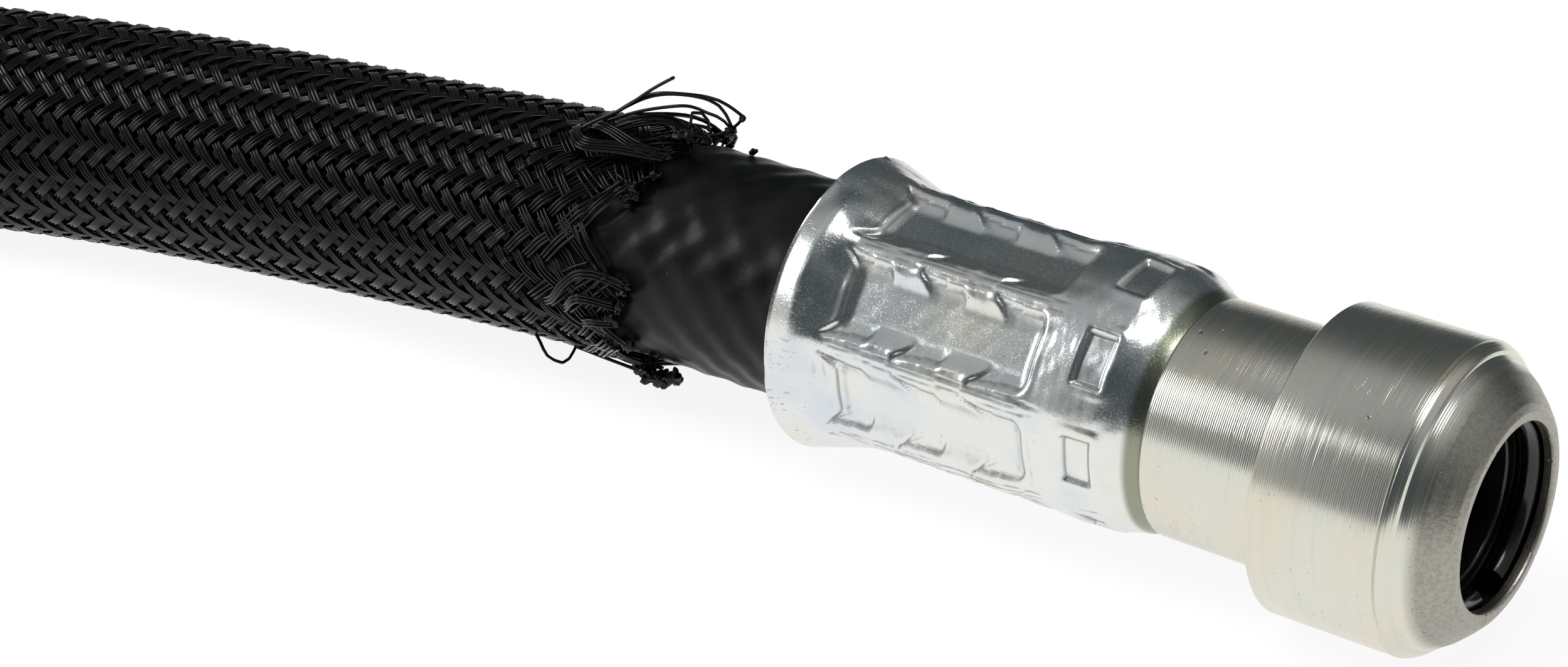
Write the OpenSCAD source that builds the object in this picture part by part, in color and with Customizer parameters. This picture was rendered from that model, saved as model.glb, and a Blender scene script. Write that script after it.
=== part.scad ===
// Hydraulic hose assembly: a wire-reinforced rubber hose in a braided sleeve,
// with the same push-in coupling crimped to each end. Millimetres, +Z up.
// +X runs out of the mouth of the first coupling, which lies on the ground.

/* [Coupling body] */
// Diameter of the collar
collar_d = 31; // [30.5:0.1:32]
// Length of the collar with its nose
collar_l = 19; // [18.5:0.1:20]
// Length of the nose in front of the collar's front edge
nose_l = 4.7; // [4:0.1:5]
// Diameter of the flat lip round the mouth
lip_d = 20.8; // [20.4:0.1:21.6]
// Diameter of the neck
neck_d = 24.1; // [23.5:0.1:25]
// Length of the neck
neck_l = 13.5; // [13:0.1:15]

/* [Socket] */
// Diameter of the mouth's lead-in wall
mouth_d = 18.9; // [18.8:0.1:19.2]
// Diameter of the groove that holds the retaining ring
ring_groove_d = 22.4; // [22:0.1:23]
// Diameter of the recess that holds the guide ring
guide_d = 18.2; // [18.1:0.1:18.4]
// Diameter of the bore that seats the plug
seat_d = 15.2; // [15:0.1:15.4]
// Diameter of the groove that holds the seal
seal_groove_d = 20.6; // [20.5:0.1:20.8]
// Diameter of the oil way
flow_d = 11.2; // [10:0.1:11.6]

/* [Rings] */
// Wire diameter of the retaining ring
ring_wire_d = 2.3; // [2.1:0.1:2.4]
// Middle diameter of the retaining ring
ring_mid_d = 18.6; // [18.4:0.1:18.8]
// Gap between the retaining ring's ends, in degrees
ring_gap = 25; // [15:1:40]
// Section diameter of the seal
seal_wire_d = 2.5; // [2.3:0.1:2.5]
// Width of the back-up ring
backup_w = 1.5; // [1.2:0.1:1.6]

/* [Ferrule] */
// Length of the ferrule
ferrule_l = 40.8; // [40.5:0.1:41]
// Diameter of the flared rear rim
rim_d = 31; // [30:0.1:31]
// Diameter over the ridges between the crimps
ferrule_d = 26.6; // [26.4:0.1:27]
// Diameter over the floors of the crimps
crimp_d = 25; // [24.8:0.1:25.4]
// Diameter inside the gripping teeth
grip_d = 22.6; // [22.5:0.1:22.8]
// Number of crimps round the ferrule
crimps = 8; // [8:1:8]

/* [Hose] */
// Bore of the hose
hose_bore = 15.9; // [15.8:0.1:16]
// Outside diameter of the liner
liner_d = 19.9; // [19.6:0.1:20]
// Outside diameter over the wire braid
wire_d = 20.9; // [20.7:0.1:21.2]
// Outside diameter of the hose
hose_d = 23.8; // [23.4:0.1:24]
// Outside diameter of the hose where it is crimped
crimped_d = 22.4; // [22.2:0.1:22.4]
// Outside diameter of the braided sleeve
sleeve_d = 25.7; // [25.2:0.1:25.7]
// Clearance between one layer of the hose and the next
layer_gap = 0.1; // [0.05:0.05:0.15]

/* [Hidden] */

round_fn = 96;
end_l = 74.2;
axis_z = collar_d / 2;

// Places along the axis of a coupling, which is centred on its own length
mouth_x = end_l / 2;
collar_back_x = mouth_x - collar_l;
neck_back_x = collar_back_x - neck_l;
rim_x = -end_l / 2;
ferrule_front_x = rim_x + ferrule_l;

// Steps down the socket, measured from the mouth
mouth_chamfer = 0.4;
lead_in_end = 1.1;
ring_groove_end = 3.9;
guide_end = 6.6;
seal_groove_start = 7.6;
seal_groove_end = 12.2;
seat_end = 22;

// The stem: a spigot pressed into the neck, two shoulders with the ferrule's lip between them, and the tail
spigot_r = 8.5;
spigot_l = 8;
shoulder_r = 10.4;
shoulder_l = 2.2;
lock_groove_r = 9;
lock_groove_l = 2.8;
hose_stop_x = -2.5;
tail_end_x = -34;
barb_r = 7.6;
barb_root_r = 7.1;
barb_pitch = 4.5;
barb_count = 6;

// The ferrule's lip and its inside
lip_clear = 0.1;
grip_root = 0.3;
grip_pitch = 4;
grip_count = 6;
flare_x = -29.5;
rim_wall = 1.3;

// A crimp: three lobes in a row along a panel, and a dent near the front
lobe_r = 3.6;
lobe_pitch = 6.6;
lobe_mid_x = -16.8;
waist_w = 4.8;
dent_x = -3.4;
dent_l = 3.2;
dent_w = 3.4;
dent_depth = 0.5;
first_crimp = 14;

ring_gap_at = -63;

// Where the middle of the far coupling stands
far_x = -488;
far_y = -161;

// The hose's route, from stop to stop: straight in each ferrule, and an easy S between them
route = [
    [-2.5, 0, 15.5], [-29, 0, 15.5], [-37, 0, 15.5], [-64, 0, 15], [-97, -2.5, 13.5],
    [-131.5, -9, 12.9], [-164, -21.5, 12.9], [-192.5, -37.5, 12.9], [-219.5, -58.5, 12.9],
    [-244, -80.5, 12.9],
    [-268.5, -102.5, 12.9], [-295.5, -123.5, 12.9], [-324, -139.5, 12.9], [-356.5, -152, 12.9],
    [-391, -158.5, 13.5], [-424, -161, 15], [-451, -161, 15.5], [-459, -161, 15.5],
    [-485.5, -161, 15.5]];
sleeve_route = [for (i = [3 : len(route) - 4]) route[i]];
crimped_rings = 2;
tube_sides = 12;

// A solid of revolution on the coupling's axis, from [radius, place along the axis] points
module turned(profile, gap = 0, start = 0) {
    translate([0, 0, axis_z])
        rotate([0, 90, 0])
            rotate([0, 0, start])
                rotate_extrude(angle = 360 - gap, $fn = round_fn)
                    polygon(profile);
}

function circle_points(mid_r, mid_x, r, steps = 24) =
    [for (i = [0 : steps - 1]) [mid_r + r * cos(i * 360 / steps), mid_x + r * sin(i * 360 / steps)]];

function ring_profile(inner_r, outer_r, x0, x1) =
    [[inner_r, x0], [outer_r, x0], [outer_r, x1], [inner_r, x1]];

// Stands the far coupling at the other end of the hose, facing the other way
module at_far_end() {
    translate([far_x, far_y, 0])
        rotate([0, 0, 180])
            children();
}

module coupling_body() {
    bead = 0.4;
    nose_r = collar_d / 2 - bead;
    nose_x = mouth_x - nose_l;
    nose = [for (a = [0 : 15 : 90])
        [lip_d / 2 + (nose_r - lip_d / 2) * cos(a), nose_x + nose_l * sin(a)]];
    outside = concat(
        [[spigot_r, neck_back_x], [neck_d / 2 - 0.3, neck_back_x], [neck_d / 2, neck_back_x + 0.3],
         [neck_d / 2, collar_back_x], [collar_d / 2, collar_back_x], [collar_d / 2, nose_x - bead]],
        nose);
    socket = [
        [mouth_d / 2 + mouth_chamfer, mouth_x],
        [mouth_d / 2, mouth_x - mouth_chamfer],
        [mouth_d / 2, mouth_x - lead_in_end],
        [ring_groove_d / 2, mouth_x - lead_in_end],
        [ring_groove_d / 2, mouth_x - ring_groove_end],
        [guide_d / 2, mouth_x - ring_groove_end],
        [guide_d / 2, mouth_x - guide_end],
        [seat_d / 2, mouth_x - guide_end],
        [seat_d / 2, mouth_x - seal_groove_start],
        [seal_groove_d / 2, mouth_x - seal_groove_start],
        [seal_groove_d / 2, mouth_x - seal_groove_end],
        [seat_d / 2, mouth_x - seal_groove_end],
        [seat_d / 2, mouth_x - seat_end],
        [flow_d / 2, mouth_x - seat_end],
        [flow_d / 2, neck_back_x + spigot_l],
        [spigot_r, neck_back_x + spigot_l]];
    color("#b9b6a8")
        turned(concat(outside, socket));
}

module coupling_stem() {
    groove_x = neck_back_x - shoulder_l;
    tail_front_x = hose_stop_x - 1;
    barbs = [for (i = [0 : barb_count - 1]) each
        [[barb_root_r, tail_front_x - i * barb_pitch], [barb_root_r, tail_front_x - i * barb_pitch - 2],
         [barb_r, tail_front_x - i * barb_pitch - 2], [barb_r, tail_front_x - i * barb_pitch - 3]]];
    color("#8b8f72")
        turned(concat(
            [[flow_d / 2, neck_back_x + spigot_l], [spigot_r, neck_back_x + spigot_l],
             [spigot_r, neck_back_x], [shoulder_r, neck_back_x], [shoulder_r, groove_x],
             [lock_groove_r, groove_x], [lock_groove_r, groove_x - lock_groove_l],
             [shoulder_r, groove_x - lock_groove_l], [shoulder_r, hose_stop_x],
             [barb_root_r, hose_stop_x]],
            barbs,
            [[barb_root_r, tail_end_x], [flow_d / 2, tail_end_x]]));
}

module crimp_ferrule() {
    lip_front_x = neck_back_x - shoulder_l - lip_clear;
    lip_back_x = lip_front_x - lock_groove_l + 2 * lip_clear;
    grip_r = grip_d / 2;
    teeth = [for (i = [0 : grip_count - 1]) each
        [[grip_r, lip_back_x - 2 - i * grip_pitch], [grip_r + grip_root, lip_back_x - 2 - i * grip_pitch],
         [grip_r + grip_root, lip_back_x - 4 - i * grip_pitch], [grip_r, lip_back_x - 4 - i * grip_pitch]]];
    shell = concat(
        [[lock_groove_r + lip_clear, lip_front_x], [shoulder_r + 0.3, lip_front_x],
         [shoulder_r + 0.3, ferrule_front_x], [neck_d / 2 - 0.1, ferrule_front_x],
         [ferrule_d / 2 - 0.4, ferrule_front_x - 1.2], [ferrule_d / 2, ferrule_front_x - 2.6],
         [ferrule_d / 2, flare_x + 0.5], [rim_d / 2 - 1, rim_x + 3], [rim_d / 2, rim_x + 1.2],
         [rim_d / 2, rim_x], [rim_d / 2 - rim_wall, rim_x], [grip_r, flare_x]],
        [for (i = [len(teeth) - 1 : -1 : 0]) teeth[i]],
        [[grip_r, lip_back_x], [lock_groove_r + lip_clear, lip_back_x]]);
    color("#b8c0c8")
        difference() {
            turned(shell);
            for (i = [0 : crimps - 1])
                translate([0, 0, axis_z])
                    rotate([first_crimp + i * 360 / crimps, 0, 0])
                        crimp_panel();
        }
}

// What one die presses out of the ferrule, along +Z of the axis
module crimp_panel() {
    for (k = [-1 : 1])
        translate([lobe_mid_x + k * lobe_pitch, 0, crimp_d / 2])
            cylinder(r = lobe_r, h = 3, $fn = 48);
    translate([lobe_mid_x - lobe_pitch, -waist_w / 2, crimp_d / 2])
        cube([2 * lobe_pitch, waist_w, 3]);
    translate([dent_x - dent_l / 2, -dent_w / 2, ferrule_d / 2 - dent_depth])
        cube([dent_l, dent_w, 3]);
}

module retaining_ring() {
    mid_x = mouth_x - (lead_in_end + ring_groove_end) / 2;
    color("#1a1a1c")
        turned(circle_points(ring_mid_d / 2, mid_x, ring_wire_d / 2),
            gap = ring_gap, start = ring_gap_at + ring_gap / 2);
}

module guide_ring() {
    color("#6f6a55")
        turned(ring_profile(seat_d / 2 + 0.2, guide_d / 2, mouth_x - guide_end, mouth_x - ring_groove_end - 0.1));
}

module seal_o_ring() {
    mid_r = seal_groove_d / 2 - seal_wire_d / 2 - 0.05;
    color("#202020")
        turned(circle_points(mid_r, mouth_x - seal_groove_end + seal_wire_d / 2 + 0.3, seal_wire_d / 2));
}

module backup_ring() {
    front_x = mouth_x - seal_groove_start - 0.1;
    color("#e6e2d6")
        turned(ring_profile(seat_d / 2 + 0.1, seal_groove_d / 2 - 0.05, front_x - backup_w, front_x));
}

function unit(v) = v / norm(v);

// The way the route runs at point i
function heading(points, i) =
    unit(points[min(i + 1, len(points) - 1)] - points[max(i - 1, 0)]);

function tube_ring(points, i, r) =
    let (ahead = heading(points, i), side = unit(cross([0, 0, 1], ahead)), above = cross(ahead, side))
        [for (k = [0 : tube_sides - 1])
            points[i] + r * (cos(k * 360 / tube_sides) * side + sin(k * 360 / tube_sides) * above)];

// A hollow tube swept along points, with one inner and one outer radius for each point
module swept_tube(points, inner, outer) {
    n = len(points);
    s = tube_sides;
    skin = n * s;
    vertices = concat(
        [for (i = [0 : n - 1]) each tube_ring(points, i, outer[i])],
        [for (i = [0 : n - 1]) each tube_ring(points, i, inner[i])]);
    walls = [for (i = [0 : n - 2], k = [0 : s - 1]) each
        let (a = i * s + k, b = i * s + (k + 1) % s, c = a + s, d = b + s)
            [[a, b, c], [b, d, c], [skin + b, skin + a, skin + c], [skin + b, skin + c, skin + d]]];
    ends = [for (k = [0 : s - 1]) each
        let (a = k, b = (k + 1) % s, c = (n - 1) * s + a, d = (n - 1) * s + b)
            [[b, a, skin + a], [b, skin + a, skin + b], [c, d, skin + c], [d, skin + d, skin + c]]];
    polyhedron(points = vertices, faces = concat(walls, ends));
}

// One layer of the hose, thinner where the ferrules hold it
module hose_layer(inner_r, outer_r, inner_crimped_r, outer_crimped_r) {
    last = len(route) - crimped_rings;
    swept_tube(route,
        [for (i = [0 : len(route) - 1]) i < crimped_rings || i >= last ? inner_crimped_r : inner_r],
        [for (i = [0 : len(route) - 1]) i < crimped_rings || i >= last ? outer_crimped_r : outer_r]);
}

liner_crimped_r = 9.5;
wire_crimped_r = 10;

module hose_liner() {
    color("#2a2a2a")
        hose_layer(hose_bore / 2, liner_d / 2, hose_bore / 2, liner_crimped_r);
}

module wire_braid() {
    color("#9a9a9a")
        hose_layer(liner_d / 2 + layer_gap, wire_d / 2, liner_crimped_r + layer_gap, wire_crimped_r);
}

module hose_cover() {
    color("#161616")
        hose_layer(wire_d / 2 + layer_gap, hose_d / 2, wire_crimped_r + layer_gap, crimped_d / 2);
}

module braided_sleeve() {
    n = len(sleeve_route);
    color("#101010")
        swept_tube(sleeve_route,
            [for (i = [0 : n - 1]) hose_d / 2 + layer_gap],
            [for (i = [0 : n - 1]) sleeve_d / 2]);
}

coupling_body();
coupling_stem();
crimp_ferrule();
retaining_ring();
guide_ring();
seal_o_ring();
backup_ring();
hose_liner();
wire_braid();
hose_cover();
braided_sleeve();
at_far_end() coupling_body();  // far_coupling_body
at_far_end() coupling_stem();  // far_coupling_stem
at_far_end() crimp_ferrule();  // far_crimp_ferrule
at_far_end() retaining_ring();  // far_retaining_ring
at_far_end() guide_ring();  // far_guide_ring
at_far_end() seal_o_ring();  // far_seal_o_ring
at_far_end() backup_ring();  // far_backup_ring
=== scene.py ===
import math
import random

import bmesh
import bpy
import numpy as np
from mathutils import Matrix, Vector


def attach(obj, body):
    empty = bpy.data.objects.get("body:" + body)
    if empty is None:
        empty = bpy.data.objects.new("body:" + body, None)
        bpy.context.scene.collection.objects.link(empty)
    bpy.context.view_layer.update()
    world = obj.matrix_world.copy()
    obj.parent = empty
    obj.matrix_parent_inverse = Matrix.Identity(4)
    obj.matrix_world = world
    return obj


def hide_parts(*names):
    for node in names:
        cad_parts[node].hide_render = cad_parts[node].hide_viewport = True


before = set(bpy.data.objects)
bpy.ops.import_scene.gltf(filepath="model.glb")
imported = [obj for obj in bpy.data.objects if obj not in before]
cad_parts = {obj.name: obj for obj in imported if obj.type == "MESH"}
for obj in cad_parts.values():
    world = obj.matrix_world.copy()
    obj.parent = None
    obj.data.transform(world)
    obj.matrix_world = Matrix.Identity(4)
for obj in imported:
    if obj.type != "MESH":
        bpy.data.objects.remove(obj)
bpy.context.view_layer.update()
mm = 0.001
axisHeight = 15.5  # the couplings' axis above the ground, mm
print("frame loaded")

viewPoint = {
    "place": (0.15434, -0.26846, 0.17986),  # metres
    "aim": (-0.53298, 0.71415, -0.4538),
    "lens": 82.12,
    "nearest": 0.01,
    "furthest": 30,
}


def makeCamera():
    camera = bpy.data.objects.new("camera", bpy.data.cameras.new("camera"))
    bpy.context.scene.collection.objects.link(camera)
    camera.data.lens = viewPoint["lens"]
    camera.data.clip_start = viewPoint["nearest"]
    camera.data.clip_end = viewPoint["furthest"]
    camera.location = viewPoint["place"]
    camera.rotation_euler = Vector(viewPoint["aim"]).to_track_quat("-Z", "Y").to_euler()
    bpy.context.scene.camera = camera


makeCamera()
print("camera made")


def clearSelection():
    if bpy.context.object and bpy.context.object.mode != "OBJECT":
        bpy.ops.object.mode_set(mode="OBJECT")
    bpy.ops.object.select_all(action="DESELECT")


def pick(piece):
    clearSelection()
    piece.select_set(True)
    bpy.context.view_layer.objects.active = piece


def meshPiece(name, points, faces):
    mesh = bpy.data.meshes.new(name)
    mesh.from_pydata(np.asarray(points).tolist(), [], [list(f) for f in faces])
    mesh.update()
    piece = bpy.data.objects.new(name, mesh)
    bpy.context.scene.collection.objects.link(piece)
    return piece


def smoothByAngle(piece, degrees):
    pick(piece)
    bpy.ops.object.shade_smooth_by_angle(angle=math.radians(degrees))


def applyAll(piece):
    pick(piece)
    for modifier in list(piece.modifiers):
        bpy.ops.object.modifier_apply(modifier=modifier.name)


def meshPoints(piece):
    flat = np.empty(len(piece.data.vertices) * 3, np.float32)
    piece.data.vertices.foreach_get("co", flat)
    return flat.reshape(-1, 3).astype(float)


def setMeshPoints(piece, points):
    piece.data.vertices.foreach_set("co", np.asarray(points, np.float32).ravel())
    piece.data.update()


def setAttribute(piece, name, values):
    layer = piece.data.attributes.new(name, "FLOAT", "POINT")
    layer.data.foreach_set("value", np.asarray(values, np.float32))


def smoothStep(x, low, high):
    t = np.clip((x - low) / (high - low), 0, 1)
    return t * t * (3 - 2 * t)


def roughLine(at, seed, waves=(3, 7, 11, 19, 31, 53)):
    # a repeatable uneven line round a full turn, about -1 to 1
    source = random.Random(seed)
    total = np.zeros_like(np.asarray(at, float))
    for wave in waves:
        total += math.sqrt(3 / wave) * np.sin(wave * at + source.uniform(0, 2 * math.pi))
    return total / 1.8


def roundCorners(outline, segments=4):
    # (along, out, corner radius) in mm becomes (along, out) with rounded corners
    rounded = []
    count = len(outline)
    for i, (along, out, radius) in enumerate(outline):
        if radius == 0:
            rounded.append((along, out))
            continue
        here = np.array((along, out), float)
        before = np.array(outline[i - 1][:2], float) - here
        after = np.array(outline[(i + 1) % count][:2], float) - here
        lengths = np.linalg.norm(before), np.linalg.norm(after)
        before, after = before / lengths[0], after / lengths[1]
        half = math.acos(np.clip(before @ after, -1, 1)) / 2
        cut = min(radius / math.tan(half), lengths[0] * 0.48, lengths[1] * 0.48)
        radius = cut * math.tan(half)
        middle = here + (before + after) / np.linalg.norm(before + after) * radius / math.sin(half)
        first, last = here + before * cut - middle, here + after * cut - middle
        for step in range(segments + 1):
            mixed = first * (1 - step / segments) + last * step / segments
            rounded.append(tuple(middle + mixed / np.linalg.norm(mixed) * radius))
    return rounded


mergeWithin = 0.002  # points closer than this become one, mm


def spinSolid(name, outline, steps, turn=360.0, start=0.0):
    # a closed outline of (along, out) in mm, spun round the coupling's axis; the start angle
    # is measured from the front side upwards
    clearSelection()
    bpy.ops.mesh.primitive_circle_add(vertices=len(outline), radius=0.01, location=(0, 0, 0))
    piece = bpy.context.object
    piece.name = piece.data.name = name
    angle = math.radians(start)
    for vertex, (along, out) in zip(piece.data.vertices, outline):
        vertex.co = (along * mm, -out * mm * math.cos(angle), (axisHeight + out * math.sin(angle)) * mm)
    bpy.ops.object.mode_set(mode="EDIT")
    bpy.ops.mesh.select_all(action="SELECT")
    if turn < 360:
        bpy.ops.mesh.edge_face_add()
    middle = (0, 0, axisHeight * mm)
    bpy.ops.mesh.spin(steps=steps, angle=math.radians(turn), center=middle, axis=(-1, 0, 0))
    bpy.ops.mesh.select_all(action="SELECT")
    bpy.ops.mesh.remove_doubles(threshold=mergeWithin * mm)
    bpy.ops.mesh.normals_make_consistent(inside=False)
    bpy.ops.object.mode_set(mode="OBJECT")
    return piece


def aroundAxis(piece):
    # place along the coupling, angle from the front side upwards, distance out, all in mm
    points = meshPoints(piece) / mm
    y, z = points[:, 1], points[:, 2] - axisHeight
    return points[:, 0], np.arctan2(z, -y), np.hypot(y, z)


def setAroundAxis(piece, along, angle, out):
    setMeshPoints(piece, np.stack([along, -out * np.cos(angle), axisHeight + out * np.sin(angle)], -1) * mm)


# radii and places in mm, places measured from either end of the line
hose = {
    "bore": 7.95,
    "linerOut": 9.95,
    "wireIn": 10.05,
    "wireOut": 10.45,
    "coverIn": 10.55,
    "coverOut": 11.9,
    "crimped": 11.15,  # the cover inside a ferrule
    "squeeze": 0.45,  # what the crimp takes off the inner layers
    "endInset": 6,
    "crimpMiddle": 20,
    "rim": 34.5,  # the ferrule's rear rim
    "bareEnd": 72,
    "bareStep": 0.4,
    "step": 4,
    "columns": 168,
    "innerColumns": 48,
    "length": 0.529,  # metres
    "rippleDepth": 0.2,
    "ripplePitch": 4.9,
    "rippleCount": 12,
}

# the line of the solids, within 1.3 mm, in metres
route = [
    (-0.0025, 0, 0.0155), (-0.029, 0, 0.0155), (-0.037, 0, 0.0155), (-0.064, -0.0003, 0.015),
    (-0.097, -0.0034, 0.0135), (-0.1315, -0.0102, 0.0129), (-0.164, -0.0227, 0.0129),
    (-0.1925, -0.0384, 0.0129), (-0.2195, -0.0589, 0.0129), (-0.244, -0.0805, 0.0129),
    (-0.2685, -0.1025, 0.0129), (-0.2955, -0.1235, 0.0129), (-0.324, -0.1395, 0.0129),
    (-0.3565, -0.152, 0.0129), (-0.391, -0.1585, 0.0135), (-0.424, -0.161, 0.015),
    (-0.451, -0.161, 0.0155), (-0.459, -0.161, 0.0155), (-0.4855, -0.161, 0.0155)]
lineStep = 0.5  # mm


def splineThrough(points, step):
    # natural cubic spline by chord length, sampled evenly
    points = np.array(points, float)
    chord = np.concatenate([[0], np.cumsum(np.linalg.norm(np.diff(points, axis=0), axis=1))])
    gap = np.diff(chord)
    count = len(points)
    system = np.eye(count)
    right = np.zeros((count, 3))
    for i in range(1, count - 1):
        system[i, i - 1:i + 2] = gap[i - 1], 2 * (gap[i - 1] + gap[i]), gap[i]
        right[i] = 6 * ((points[i + 1] - points[i]) / gap[i] - (points[i] - points[i - 1]) / gap[i - 1])
    curve = np.linalg.solve(system, right)
    at = np.linspace(0, chord[-1], max(2, int(round(chord[-1] / step)) + 1))
    i = np.clip(np.searchsorted(chord, at, side="right") - 1, 0, count - 2)
    h = gap[i][:, None]
    a = (chord[i + 1] - at)[:, None] / h
    b = 1 - a
    bend = (a**3 - a) * curve[i] + (b**3 - b) * curve[i + 1]
    return a * points[i] + b * points[i + 1] + bend * h * h / 6


linePoints = splineThrough(np.array(route) / mm, lineStep)
lineLengths = np.concatenate([[0], np.cumsum(np.linalg.norm(np.diff(linePoints, axis=0), axis=1))])
hoseEnd = float(lineLengths[-1])
lineAhead = np.gradient(linePoints, axis=0)
lineAhead /= np.linalg.norm(lineAhead, axis=1)[:, None]
lineSide = np.cross([0, 0, 1.0], lineAhead)
lineSide /= np.linalg.norm(lineSide, axis=1)[:, None]
lineAbove = np.cross(lineAhead, lineSide)


def atLength(values, along):
    return np.stack([np.interp(along, lineLengths, values[:, k]) for k in range(3)], axis=-1)


def onHose(along, turn, radius):
    # points round the hose in mm: turn is 0 at the front side and a quarter turn on top
    along, turn, radius = np.broadcast_arrays(along, turn, radius)
    centre = atLength(linePoints, along)
    side, above = atLength(lineSide, along), atLength(lineAbove, along)
    return centre + radius[..., None] * (np.cos(turn)[..., None] * side + np.sin(turn)[..., None] * above)


def gridFaces(rows, columns):
    # quads of a tube whose points are stored row by row, closed round its columns
    row, column = np.meshgrid(np.arange(rows - 1), np.arange(columns), indexing="ij")
    ahead = (column + 1) % columns
    return np.stack([row * columns + column, row * columns + ahead,
                     (row + 1) * columns + ahead, (row + 1) * columns + column], -1).reshape(-1, 4)


def sweptTube(name, along, innerRadius, outerRadius, columns):
    # a closed hollow tube on the hose line; the radii are functions of along and turn
    rows = len(along)
    turn = np.arange(columns) * 2 * math.pi / columns
    grid = np.meshgrid(along, turn, indexing="ij")
    outer = onHose(*grid, outerRadius(*grid)).reshape(-1, 3)
    inner = onHose(*grid, innerRadius(*grid)).reshape(-1, 3)
    faces = gridFaces(rows, columns)
    first = np.arange(columns)
    nextOne = (first + 1) % columns
    skin = rows * columns
    last = (rows - 1) * columns
    caps = np.concatenate([
        np.stack([nextOne, first, skin + first, skin + nextOne], -1),
        np.stack([last + first, last + nextOne, skin + last + nextOne, skin + last + first], -1)])
    allFaces = np.concatenate([faces, faces[:, ::-1] + skin, caps])
    piece = meshPiece(name, np.concatenate([outer, inner]) * mm, allFaces)
    smoothByAngle(piece, 50)
    setAttribute(piece, "along", np.tile(np.repeat(along, columns), 2))
    setAttribute(piece, "round", np.tile(np.tile(turn, rows), 2))
    return piece


def crimpShare(along):
    # 1 where the ferrules squeeze the hose, 0 where it is free
    fromEnd = np.minimum(along, hoseEnd - along)
    return 1 - smoothStep(fromEnd, hose["rim"] - 7.5, hose["rim"] - 1)


def coverRadius(along, turn):
    # the reinforcement under the cover shows as soft crossing ripples where the hose is bare
    fromEnd = np.minimum(along, hoseEnd - along)
    phase = 2 * math.pi * along / hose["ripplePitch"]
    around = hose["rippleCount"] * turn
    patches = 0.65 + 0.35 * np.sin(2.0 * turn + 0.11 * along + 1.0) * np.cos(0.23 * along + turn)
    oneWay = np.cos(phase + around + 0.5 * np.sin(turn))
    ripple = patches * (oneWay + 0.8 * np.cos(phase * 0.97 - around + 0.6))
    bare = smoothStep(fromEnd, hose["rim"] - 1, hose["rim"] + 4)
    bare *= 1 - smoothStep(fromEnd, hose["bareEnd"] - 8, hose["bareEnd"])
    free = hose["coverOut"] - hose["rippleDepth"] * bare * (1 - ripple * 0.55)
    return free + (hose["crimped"] - free) * crimpShare(along)


def layerRadius(name, squeeze=hose["squeeze"]):
    return lambda along, turn: hose[name] - squeeze * crimpShare(along)


def makeHose():
    inset, step, bareEnd = hose["endInset"], hose["step"], hose["bareEnd"]
    ends = np.array([inset, hose["crimpMiddle"]])
    bare = np.arange(hose["rim"] - 8, bareEnd, hose["bareStep"])
    middle = np.arange(bareEnd, hoseEnd - bareEnd, step)
    along = np.concatenate([ends, bare, middle, (hoseEnd - bare)[::-1], (hoseEnd - ends)[::-1]])
    cover = sweptTube("hoseCover", along, layerRadius("coverIn"), coverRadius, hose["columns"])
    coarse = np.arange(inset, hoseEnd - inset + 1, step)
    columns = hose["innerColumns"]
    liner = sweptTube("hoseLiner", coarse, layerRadius("bore", 0), layerRadius("linerOut"), columns)
    wire = sweptTube("wireBraid", coarse, layerRadius("wireIn"), layerRadius("wireOut"), columns)
    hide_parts("hose_cover")
    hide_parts("hose_liner")
    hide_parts("wire_braid")
    return cover, liner, wire, atLength(linePoints, along) * mm


hoseCover, hoseLiner, wireBraid, hosePath = makeHose()
print("hose made", round(hoseEnd, 1), "mm")

# in mm
sleeve = {
    "carriers": 32,  # bundles that wind each way
    "lead": 83.5,  # for one turn round the hose
    "middle": 12.45,  # radius at half the weave's height
    "weave": 0.3,
    "filament": 0.18,  # radius
    "spread": 0.375,  # from one filament of a bundle to the next
    "start": 71,
    "nearStep": 0.6,
    "nearArc": 4,
    "farStep": 0.95,
    "farArc": 3,
    "nearEnd": 155,
}


def strandProfile(arcSteps):
    # outline of a bundle of three filaments, across and outwards, with a flat underside
    radius = sleeve["filament"]
    points = []
    for middle in (-sleeve["spread"], 0, sleeve["spread"]):
        for angle in np.radians(np.linspace(165, 15, arcSteps)):
            points.append((middle + radius * math.cos(angle), radius * math.sin(angle)))
    points += [(sleeve["spread"], -radius * 0.9), (-sleeve["spread"], -radius * 0.9)]
    return np.array(points)


def weaveHeight(turn, way):
    # over two, under two: rows of floats run along the hose
    crossing = turn * sleeve["carriers"] / math.pi
    return np.cos((crossing - 0.5) * math.pi / 2) * way


def strandTurn(along, carrier, way):
    return way * 2 * math.pi * along / sleeve["lead"] + 2 * math.pi * carrier / sleeve["carriers"]


def strandFrame(centre, outward):
    # unit vectors across and above for centre lines stored as (strand, ring, 3)
    ahead = np.gradient(centre, axis=1)
    ahead /= np.linalg.norm(ahead, axis=2)[..., None]
    across = np.cross(ahead, outward)
    across /= np.linalg.norm(across, axis=2)[..., None]
    return across, np.cross(across, ahead)


def sweepProfile(centre, outward, profile):
    across, above = strandFrame(centre, outward)
    return (centre[:, :, None, :] + profile[None, None, :, 0, None] * across[:, :, None, :]
            + profile[None, None, :, 1, None] * above[:, :, None, :])


def strandMesh(name, rings):
    strands, rows, columns = rings.shape[:3]
    size = rows * columns
    every = (np.arange(strands) * size)[:, None, None] + gridFaces(rows, columns)[None]
    faces = every.reshape(-1, 4).tolist()
    for base in range(0, strands * size, size):
        faces.append([base + k for k in range(columns - 1, -1, -1)])
        faces.append([base + size - columns + k for k in range(columns)])
    piece = meshPiece(name, rings.reshape(-1, 3) * mm, faces)
    piece.data.shade_smooth()
    return piece


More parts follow.
